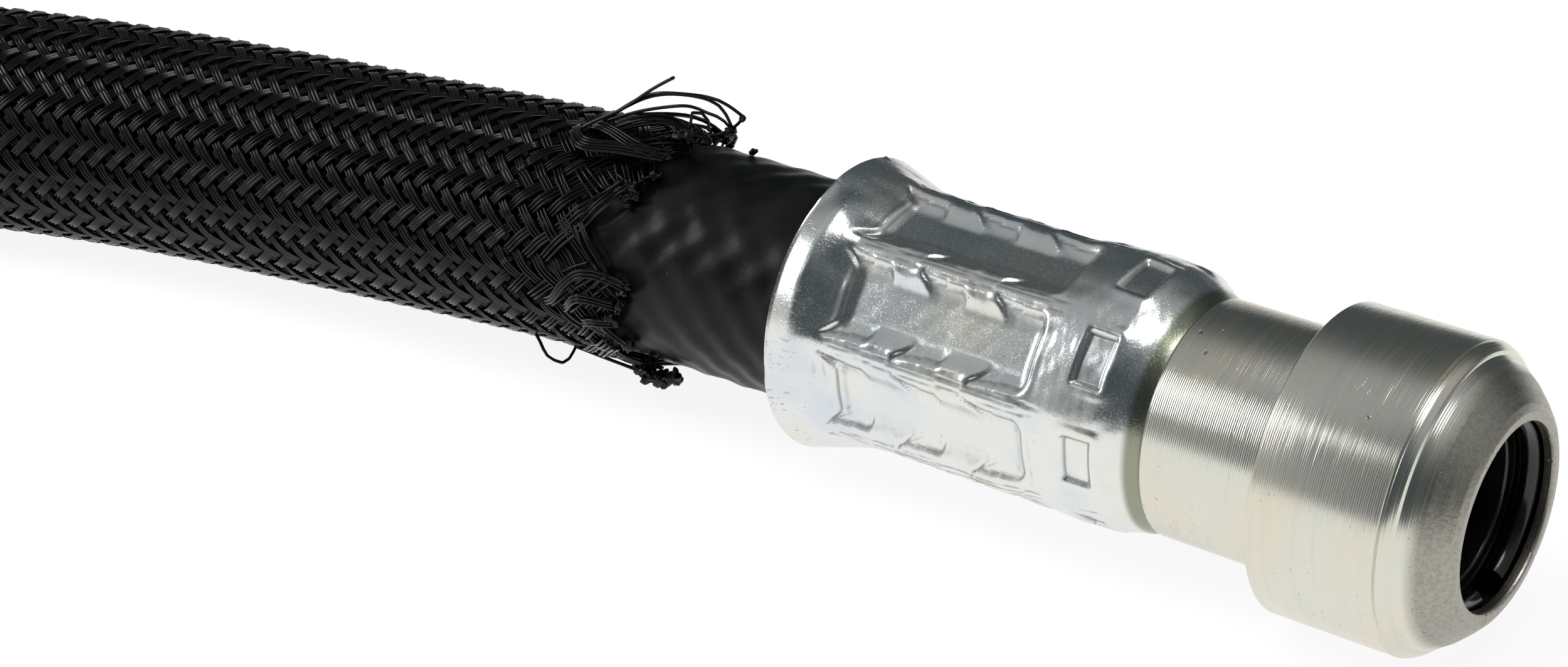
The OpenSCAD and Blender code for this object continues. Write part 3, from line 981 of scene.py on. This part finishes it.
def attributeOf(tree, name):
    return addNode(tree, "ShaderNodeAttribute", attribute_name=name).outputs["Fac"]


def paint(tree, shader, colour, roughness):
    give(tree, shader.inputs["Base Color"], colour)
    give(tree, shader.inputs["Roughness"], roughness)


def newGroup(name, inputs, outputs):
    group = bpy.data.node_groups.new(name, "ShaderNodeTree")
    group.interface.new_socket("Vector", in_out="INPUT", socket_type="NodeSocketVector")
    for label, value in inputs.items():
        socket = group.interface.new_socket(label, in_out="INPUT", socket_type="NodeSocketFloat")
        socket.default_value = value
    for label in outputs:
        group.interface.new_socket(label, in_out="OUTPUT", socket_type="NodeSocketFloat")
    return group, group.nodes.new("NodeGroupInput").outputs, group.nodes.new("NodeGroupOutput").inputs


def makeMachiningLines():
    # fine lines cut across the axis, one every Pitch metres, with uneven strength
    group, given, result = newGroup("machiningLines", {"Pitch": 0.00022, "Uneven": 0.5},
                                    ["Height", "Brushed", "Mask"])
    x = addNode(group, "ShaderNodeSeparateXYZ")
    group.links.new(given["Vector"], x.inputs[0])
    drift = noiseAt(group, given["Vector"], 1.0, 1.0, (900, 120, 120))
    turns = compute(group, "DIVIDE", x.outputs[0], given["Pitch"])
    drift = compute(group, "MULTIPLY", drift, given["Uneven"])
    phase = compute(group, "MULTIPLY_ADD", turns, 2 * math.pi, drift)
    wave = compute(group, "MULTIPLY_ADD", compute(group, "SINE", phase), 0.5, 0.5)
    strands = noiseAt(group, given["Vector"], 1.0, 2.0, (5200, 60, 60), 0.6)
    brushed = noiseAt(group, given["Vector"], 1.0, 1.0, (13000, 110, 110))
    for label, grain, share, waveShare in (("Height", strands, 0.6, 0.6), ("Brushed", brushed, 0.42, 0.26)):
        lines = compute(group, "MULTIPLY", wave, waveShare)
        group.links.new(compute(group, "MULTIPLY_ADD", grain, share, lines), result[label])
    group.links.new(rangeOf(group, strands, 0.35, 0.65), result["Mask"])
    return group


def makeSpeckle():
    # small spots: Size is spots per metre, Share is how much is covered
    group, given, result = newGroup("speckle", {"Size": 3000, "Share": 0.3, "Soft": 0.08}, ["Mask"])
    spots = noiseAt(group, given["Vector"], given["Size"], 3.0)
    edge = compute(group, "SUBTRACT", 0.72, compute(group, "MULTIPLY", given["Share"], 0.45))
    group.links.new(rangeOf(group, spots, edge, compute(group, "ADD", edge, given["Soft"])), result["Mask"])
    return group


def makeScratches():
    # thin broken strokes: Along and Across are strokes per metre in each direction
    group, given, result = newGroup("scratches", {"Along": 400, "Across": 6000, "Share": 0.2}, ["Mask"])
    stretch = addNode(group, "ShaderNodeCombineXYZ")
    group.links.new(given["Along"], stretch.inputs[0])
    group.links.new(given["Across"], stretch.inputs[1])
    group.links.new(given["Across"], stretch.inputs[2])
    scaled = addNode(group, "ShaderNodeVectorMath", operation="MULTIPLY")
    group.links.new(given["Vector"], scaled.inputs[0])
    group.links.new(stretch.outputs[0], scaled.inputs[1])
    strokes = noiseAt(group, scaled.outputs[0], 1.0, 2.0)
    patches = noiseAt(group, given["Vector"], 260.0, 2.0)
    thin = rangeOf(group, strokes, 0.64, 0.7)
    where = rangeOf(group, patches, compute(group, "SUBTRACT", 0.75, given["Share"]), 0.8)
    group.links.new(compute(group, "MULTIPLY", thin, where), result["Mask"])
    return group


def makePits():
    # round pits or specks: Every is cells per metre, Radius in cells, Share keeps some of them
    group, given, result = newGroup("pits", {"Every": 700, "Radius": 0.1, "Share": 0.3}, ["Mask"])
    cells = addNode(group, "ShaderNodeTexVoronoi", feature="F1")
    group.links.new(given["Vector"], cells.inputs["Vector"])
    group.links.new(given["Every"], cells.inputs["Scale"])
    chance = addNode(group, "ShaderNodeSeparateColor")
    group.links.new(cells.outputs["Color"], chance.inputs[0])
    kept = compute(group, "LESS_THAN", chance.outputs[0], given["Share"])
    reach = compute(group, "MULTIPLY", given["Radius"], compute(group, "ADD", chance.outputs[1], 0.3))
    edge = rangeOf(group, cells.outputs["Distance"], compute(group, "MULTIPLY", reach, 0.6), reach)
    spot = compute(group, "SUBTRACT", 1.0, edge)
    group.links.new(compute(group, "MULTIPLY", spot, kept), result["Mask"])
    return group


effects = {
    "machiningLines": makeMachiningLines(),
    "speckle": makeSpeckle(),
    "scratches": makeScratches(),
    "pits": makePits(),
}


def useEffect(tree, name, vector, **values):
    node = tree.nodes.new("ShaderNodeGroup")
    node.node_tree = effects[name]
    tree.links.new(vector, node.inputs["Vector"])
    for label, value in values.items():
        node.inputs[label].default_value = value
    return node.outputs


def startMaterial(name, metallic, roughness, specular=0.5):
    material = bpy.data.materials.new(name)
    material.use_nodes = True
    tree = material.node_tree
    shader = tree.nodes["Principled BSDF"]
    shader.inputs["Metallic"].default_value = metallic
    shader.inputs["Roughness"].default_value = roughness
    shader.inputs["Specular IOR Level"].default_value = specular
    place = addNode(tree, "ShaderNodeTexCoord").outputs["Object"]
    return material, tree, shader, place


def setBump(tree, shader, height, distance):
    bump = addNode(tree, "ShaderNodeBump")
    bump.inputs["Distance"].default_value = distance
    bump.inputs["Strength"].default_value = 1.0
    tree.links.new(height, bump.inputs["Height"])
    tree.links.new(bump.outputs[0], shader.inputs["Normal"])


def sumOf(tree, *terms):
    # terms are (socket, weight)
    total = None
    for socket, weight in terms:
        part = compute(tree, "MULTIPLY", socket, weight)
        total = part if total is None else compute(tree, "ADD", total, part)
    return total


def mostOf(tree, *terms):
    # the strongest of (socket, weight) terms
    most = None
    for socket, weight in terms:
        part = compute(tree, "MULTIPLY", socket, weight)
        most = part if most is None else compute(tree, "MAXIMUM", most, part)
    return most


def turnedSteel():
    look = {
        "colour": (0.69, 0.68, 0.60),
        "warm": (0.72, 0.67, 0.55),
        "cool": (0.60, 0.63, 0.61),
        "stain": (0.16, 0.14, 0.10),
        # darker than the body's colour, as painted shade for the dim surroundings the nose reflects
        "nose": (0.36, 0.34, 0.30),
        "noseDark": (0.25, 0.237, 0.207),
        # painted shade for the socket's bore and seats
        "inside": (0.028, 0.026, 0.022),
        "roughness": 0.13,
        "bump": 0.000026,
    }
    material, tree, shader, place = startMaterial("turnedSteel", 1.0, 0.24)
    lines = useEffect(tree, "machiningLines", place, Pitch=0.00022, Uneven=2.2)
    nose, inside, collar = [attributeOf(tree, name) for name in ("nose", "inside", "collar")]
    warmth = noiseAt(tree, place, 90.0, 3.0)
    streak = noiseAt(tree, place, 1.0, 2.0, (1500, 90, 90))
    colour = mixColours(tree, rangeOf(tree, warmth, 0.42, 0.68), look["colour"], look["warm"])
    colour = mixColours(tree, rangeOf(tree, streak, 0.5, 0.75, 0, 0.55), colour, look["cool"])
    pits = useEffect(tree, "pits", place, Every=520.0, Radius=0.13, Share=0.22)["Mask"]
    rubs = useEffect(tree, "scratches", place, Along=5200.0, Across=420.0, Share=0.22)["Mask"]
    marks = useEffect(tree, "speckle", place, Size=1500.0, Share=0.08, Soft=0.05)["Mask"]
    dark = mostOf(tree, (pits, 0.8), (rubs, 0.5), (marks, 0.35))
    mottle = rangeOf(tree, noiseAt(tree, place, 2400.0, 4.0, roughness=0.75), 0.38, 0.66)
    # painted shade: the nose's colour is darker than the rest, standing in for the dim surroundings it
    # reflects; the mottle between its two tones is random
    noseColour = mixColours(tree, mottle, look["nose"], look["noseDark"])
    colour = mixColours(tree, compute(tree, "MULTIPLY", nose, 0.88), colour, noseColour)
    colour = mixColours(tree, dark, colour, look["stain"])
    rough = sumOf(tree, (lines["Mask"], 0.06), (dark, 0.25), (warmth, 0.12), (nose, 0.14), (inside, 0.25))
    # painted shade: the socket's bore and seats take a near-black colour
    paint(tree, shader, mixColours(tree, inside, colour, look["inside"]),
          compute(tree, "ADD", rough, look["roughness"]))
    turned = mixColours(tree, collar, lines["Height"], lines["Brushed"])
    turned = compute(tree, "MULTIPLY", turned, rangeOf(tree, nose, 0.0, 1.0, 1.0, 0.15))
    matt = compute(tree, "MULTIPLY", nose, noiseAt(tree, place, 3600.0, 3.0, roughness=0.7))
    height = sumOf(tree, (turned, 1.0), (matt, 0.9), (pits, -0.8), (rubs, -0.4))
    setBump(tree, shader, height, look["bump"])
    return material


def zincPlate():
    look = {
        "colour": (0.77, 0.78, 0.75),
        "blue": (0.66, 0.70, 0.74),
        "straw": (0.76, 0.74, 0.65),
        # the front lip's olive tint, darkened as painted shade of the recess beside the coupling's neck
        "olive": (0.30, 0.32, 0.24),
        "stain": (0.20, 0.20, 0.17),
        # painted shade for the hollow creases
        "creaseShade": (0.20, 0.20, 0.18),
        "roughness": 0.14,
        "bump": 0.00001,
    }
    material, tree, shader, place = startMaterial("zincPlate", 1.0, 0.2)
    along, hollow = attributeOf(tree, "along"), attributeOf(tree, "hollow")
    blush = noiseAt(tree, place, 110.0, 3.0)
    colour = mixColours(tree, rangeOf(tree, blush, 0.3, 0.55), look["blue"], look["colour"])
    colour = mixColours(tree, rangeOf(tree, blush, 0.55, 0.72, 0, 0.8), colour, look["straw"])
    # partly painted shade: the front lip has the plating's olive tint, and its darkness stands in for the
    # shade of the recess beside the neck
    colour = mixColours(tree, rangeOf(tree, along, 2.6, 3.4), colour, look["olive"])
    # painted shade: darker colour in the hollow creases of the pressed metal
    colour = mixColours(tree, compute(tree, "MULTIPLY", hollow, 0.75), colour, look["creaseShade"])
    grain = useEffect(tree, "speckle", place, Size=5200.0, Share=0.42, Soft=0.1)["Mask"]
    spots = useEffect(tree, "speckle", place, Size=1900.0, Share=0.02, Soft=0.05)["Mask"]
    rubs = useEffect(tree, "scratches", place, Along=700.0, Across=5200.0, Share=0.2)["Mask"]
    rimShare = rangeOf(tree, along, -31.5, -35.5)
    rimRubs = useEffect(tree, "scratches", place, Along=500.0, Across=3800.0, Share=0.6)["Mask"]
    rubs = mostOf(tree, (rubs, 0.5), (rimRubs, rimShare))
    dark = mostOf(tree, (spots, 0.7), (rubs, 0.7))
    rough = sumOf(tree, (grain, 0.10), (dark, 0.2), (blush, 0.14), (hollow, 0.15))
    paint(tree, shader, mixColours(tree, dark, colour, look["stain"]),
          compute(tree, "ADD", rough, look["roughness"]))
    fine = noiseAt(tree, place, 5200.0, 3.0, roughness=0.65)
    dimples = noiseAt(tree, place, 900.0, 2.0)
    height = sumOf(tree, (fine, 0.7), (grain, 0.1), (dimples, 0.9), (rubs, -1.8), (spots, -0.7))
    setBump(tree, shader, height, look["bump"])
    return material


def stemZinc():
    look = {
        "olive": (0.42, 0.43, 0.33),
        "pale": (0.55, 0.55, 0.46),
        "roughness": (0.25, 0.45),
        "bump": 0.00001,
    }
    material, tree, shader, place = startMaterial("stemZinc", 1.0, 0.35)
    lines = useEffect(tree, "machiningLines", place, Pitch=0.0003, Uneven=1.5)
    tint = noiseAt(tree, place, 150.0, 3.0)
    paint(tree, shader, mixColours(tree, rangeOf(tree, tint, 0.4, 0.6), look["olive"], look["pale"]),
          rangeOf(tree, tint, 0.3, 0.7, *look["roughness"]))
    setBump(tree, shader, lines["Height"], look["bump"])
    return material


def darkRing(name, colour, roughness, grainSize):
    material, tree, shader, place = startMaterial(name, 0.0, roughness)
    tint = noiseAt(tree, place, 300.0, 3.0)
    darker = tuple(0.6 * value for value in colour)
    paint(tree, shader, mixColours(tree, rangeOf(tree, tint, 0.35, 0.65), colour, darker),
          rangeOf(tree, tint, 0.3, 0.7, roughness * 0.8, roughness * 1.4))
    setBump(tree, shader, noiseAt(tree, place, grainSize, 3.0), 0.000012)
    return material


def hoseRubber():
    look = {
        "colour": (0.0012, 0.0012, 0.0011),
        "worn": (0.003, 0.003, 0.0028),
        "dust": (0.36, 0.34, 0.30),
        "roughness": (0.32, 0.42),
        "bump": 0.00002,
    }
    material, tree, shader, place = startMaterial("hoseRubber", 0.0, 0.45, specular=0.2)
    tint = noiseAt(tree, place, 220.0, 4.0)
    colour = mixColours(tree, rangeOf(tree, tint, 0.35, 0.7), look["colour"], look["worn"])
    dust = useEffect(tree, "pits", place, Every=430.0, Radius=0.032, Share=0.3)["Mask"]
    fluff = useEffect(tree, "pits", place, Every=1100.0, Radius=0.05, Share=0.06)["Mask"]
    specks = compute(tree, "MAXIMUM", dust, fluff)
    paint(tree, shader, mixColours(tree, compute(tree, "MULTIPLY", specks, 0.7), colour, look["dust"]),
          rangeOf(tree, tint, 0.3, 0.7, *look["roughness"]))
    fine, coarse = noiseAt(tree, place, 3800.0, 3.0), noiseAt(tree, place, 600.0, 2.0)
    setBump(tree, shader, sumOf(tree, (fine, 0.6), (coarse, 2.0)), look["bump"])
    return material


def innerRubber():
    look = {
        "dark": (0.012, 0.012, 0.012),
        "pale": (0.03, 0.029, 0.028),
        "roughness": (0.45, 0.65),
        "bump": 0.00002,
    }
    material, tree, shader, place = startMaterial("innerRubber", 0.0, 0.55)
    tint = noiseAt(tree, place, 400.0, 3.0)
    paint(tree, shader, mixColours(tree, tint, look["dark"], look["pale"]),
          rangeOf(tree, tint, 0.3, 0.7, *look["roughness"]))
    setBump(tree, shader, noiseAt(tree, place, 2600.0, 3.0), look["bump"])
    return material


def braidedWire():
    # crossing steel wires of the reinforcement, drawn from the piece's own along and round values
    look = {
        "gap": (0.10, 0.09, 0.07),
        "wire": (0.62, 0.56, 0.42),
        "pitch": 1.2,  # mm along the hose
        "wires": 48.0,
        "roughness": (0.28, 0.45),
        "bump": 0.00012,
    }
    material, tree, shader, place = startMaterial("braidedWire", 1.0, 0.35)
    ahead = compute(tree, "MULTIPLY", attributeOf(tree, "along"), 2 * math.pi / look["pitch"])
    spread = compute(tree, "MULTIPLY", attributeOf(tree, "round"), look["wires"])
    one = compute(tree, "SINE", compute(tree, "ADD", ahead, spread))
    two = compute(tree, "SINE", compute(tree, "SUBTRACT", ahead, spread))
    height = compute(tree, "MAXIMUM", one, two)
    paint(tree, shader, mixColours(tree, rangeOf(tree, height, -0.5, 0.8), look["gap"], look["wire"]),
          rangeOf(tree, noiseAt(tree, place, 900.0), 0.3, 0.7, *look["roughness"]))
    setBump(tree, shader, height, look["bump"])
    return material


def glossyFilament(name, roughness, colour):
    material, tree, shader, place = startMaterial(name, 0.0, roughness, specular=0.25)
    tint = noiseAt(tree, place, 500.0, 3.0)
    lighter = tuple(2.2 * value for value in colour)
    base = mixColours(tree, rangeOf(tree, tint, 0.4, 0.75), colour, lighter)
    dust = useEffect(tree, "pits", place, Every=700.0, Radius=0.05, Share=0.07)["Mask"]
    paint(tree, shader, mixColours(tree, compute(tree, "MULTIPLY", dust, 0.5), base, (0.30, 0.26, 0.18)),
          rangeOf(tree, tint, 0.3, 0.7, roughness * 0.8, roughness * 1.3))
    setBump(tree, shader, noiseAt(tree, place, 2200.0, 2.0), 0.00001)
    return material


finishes = {
    "turned_steel": turnedSteel(),
    "ferrule_zinc": zincPlate(),
    "stem_zinc": stemZinc(),
    "ring_steel": darkRing("blackRing", (0.004, 0.004, 0.004), 0.14, 1500.0),
    "guide_steel": darkRing("guideDark", (0.01, 0.009, 0.008), 0.22, 2200.0),
    "seal_rubber": darkRing("sealRubber", (0.004, 0.004, 0.004), 0.3, 2600.0),
    "backup_plastic": darkRing("backupPlastic", (0.01, 0.01, 0.009), 0.4, 1800.0),
    "liner_rubber": innerRubber(),
    "wire_steel": braidedWire(),
    "cover_rubber": hoseRubber(),
    "sleeve_filament": glossyFilament("glossyFilament", 0.16, (0.001, 0.001, 0.0011)),
}
meltedFilament = glossyFilament("meltedFilament", 0.26, (0.001, 0.001, 0.001))


def finish(piece, slotName, material=None):
    piece.data.materials.clear()
    piece.data.materials.append(material or finishes[slotName])


for nodeName, slotName in (("coupling_body", "turned_steel"), ("coupling_stem", "stem_zinc"),
                           ("crimp_ferrule", "ferrule_zinc"), ("retaining_ring", "ring_steel"),
                           ("guide_ring", "guide_steel"), ("seal_o_ring", "seal_rubber"),
                           ("backup_ring", "backup_plastic")):
    finish(nearPieces[nodeName], slotName)
    finish(farPieces["far_" + nodeName], slotName)
finish(hoseCover, "cover_rubber")
finish(hoseLiner, "liner_rubber")
finish(wireBraid, "wire_steel")
for piece in sleevePieces + frayPieces:
    finish(piece, "sleeve_filament", meltedFilament if "Lumps" in piece.name else None)
print("finishes made")

for piece in [hoseCover, hoseLiner, wireBraid] + sleevePieces + frayPieces:
    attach(piece, "assembly")

studio = {
    "floorRadius": 6,
    "floorColour": (0.9, 0.9, 0.9),
    # the floor's colour away from the object, as all but the camera sees it, and where it fades
    "farColour": (0.4, 0.4, 0.4),
    "fade": (0.6, 1.8),
    "floorLift": 0.9,
    "background": (0.97, 0.97, 0.97),
    # wide lamp that lights the floor and dull surfaces; place, aimed at, size, power
    "topLamp": ((-0.5, -0.5, 1.3), (-0.2, -0.1, 0), (1.2, 1.0), 24.0),
    "dark": (0.070, 0.084, 0.092),
    # soft boxes and glows: towards, cosines where they begin and are full, strength
    "glows": [
        ((-0.82, -0.4, 0.41), 0.968, 0.986, 6.0),
        ((0.22, -0.03, 0.97), 0.968, 0.986, 6.5),
        ((-0.38, -0.64, 0.668), 0.9945, 0.998, 1.9),
        ((-0.82, -0.4, 0.41), 0.35, 1.0, 0.2),
        ((-0.45, -0.1, 0.88), 0.86, 0.97, 0.17),
        ((-0.62, -0.78, 0.05), 0.86, 0.985, 0.16),
        ((0.38, 0.1, 0.9), 0.6, 1.0, 0.13),
        ((0.75, 0.3, 0.55), 0.75, 0.97, 0.3),
    ],
}


def makeFloor():
    clearSelection()
    bpy.ops.mesh.primitive_circle_add(vertices=96, radius=studio["floorRadius"], fill_type="NGON",
                                      location=(0, 0, 0))
    floor = bpy.context.object
    floor.name = floor.data.name = "floor"
    material = bpy.data.materials.new("paleFloor")
    material.use_nodes = True
    tree = material.node_tree
    shader = tree.nodes["Principled BSDF"]
    shader.inputs["Roughness"].default_value = 0.85
    shader.inputs["Specular IOR Level"].default_value = 0.1
    place = addNode(tree, "ShaderNodeTexCoord").outputs["Object"]
    distance = addNode(tree, "ShaderNodeVectorMath", operation="LENGTH")
    tree.links.new(place, distance.inputs[0])
    path = addNode(tree, "ShaderNodeLightPath").outputs
    reach = compute(tree, "SUBTRACT", 1.0, path["Is Camera Ray"])
    fade = rangeOf(tree, distance.outputs["Value"], *studio["fade"], 0.0, reach)
    colour = mixColours(tree, fade, studio["floorColour"], studio["farColour"])
    tree.links.new(colour, shader.inputs["Base Color"])
    seen = compute(tree, "MAXIMUM", path["Is Camera Ray"], path["Is Glossy Ray"])
    glow = addNode(tree, "ShaderNodeEmission")
    tree.links.new(mixColours(tree, fade, (1.0, 1.0, 1.0), studio["farColour"]), glow.inputs["Color"])
    mix = addNode(tree, "ShaderNodeMixShader")
    tree.links.new(compute(tree, "MULTIPLY", seen, studio["floorLift"]), mix.inputs[0])
    tree.links.new(shader.outputs[0], mix.inputs[1])
    tree.links.new(glow.outputs[0], mix.inputs[2])
    tree.links.new(mix.outputs[0], tree.nodes["Material Output"].inputs["Surface"])
    floor.data.materials.append(material)


def addLamp(name, place, target, size, power):
    lamp = bpy.data.objects.new(name, bpy.data.lights.new(name, "AREA"))
    bpy.context.scene.collection.objects.link(lamp)
    lamp.data.shape = "RECTANGLE"
    lamp.data.size, lamp.data.size_y = size
    lamp.data.energy = power
    lamp.location = place
    lamp.rotation_euler = (Vector(target) - Vector(place)).to_track_quat("-Z", "Y").to_euler()
    lamp.visible_glossy = False  # shiny surfaces show the world's soft boxes instead


def makeWorld():
    # a dark room with soft boxes and glows, seen as plain white by the camera
    world = bpy.data.worlds.new("studio")
    bpy.context.scene.world = world
    world.use_nodes = True
    tree = world.node_tree
    direction = addNode(tree, "ShaderNodeTexCoord").outputs["Generated"]
    light = None
    for towards, begins, full, strength in studio["glows"]:
        facing = addNode(tree, "ShaderNodeVectorMath", operation="DOT_PRODUCT")
        facing.inputs[1].default_value = Vector(towards).normalized()
        tree.links.new(direction, facing.inputs[0])
        glow = rangeOf(tree, facing.outputs["Value"], begins, full, 0.0, strength)
        light = glow if light is None else compute(tree, "ADD", light, glow)
    grey = addNode(tree, "ShaderNodeCombineColor")
    for socket in grey.inputs:
        tree.links.new(light, socket)
    colour = mixColours(tree, 1.0, grey.outputs[0], studio["dark"], "ADD")
    path = addNode(tree, "ShaderNodeLightPath").outputs
    tree.links.new(mixColours(tree, path["Is Camera Ray"], colour, studio["background"]),
                   tree.nodes["Background"].inputs["Color"])


makeFloor()
addLamp("topLamp", *studio["topLamp"])
makeWorld()
bpy.context.scene.view_settings.view_transform = "Standard"
print("floor and light made")
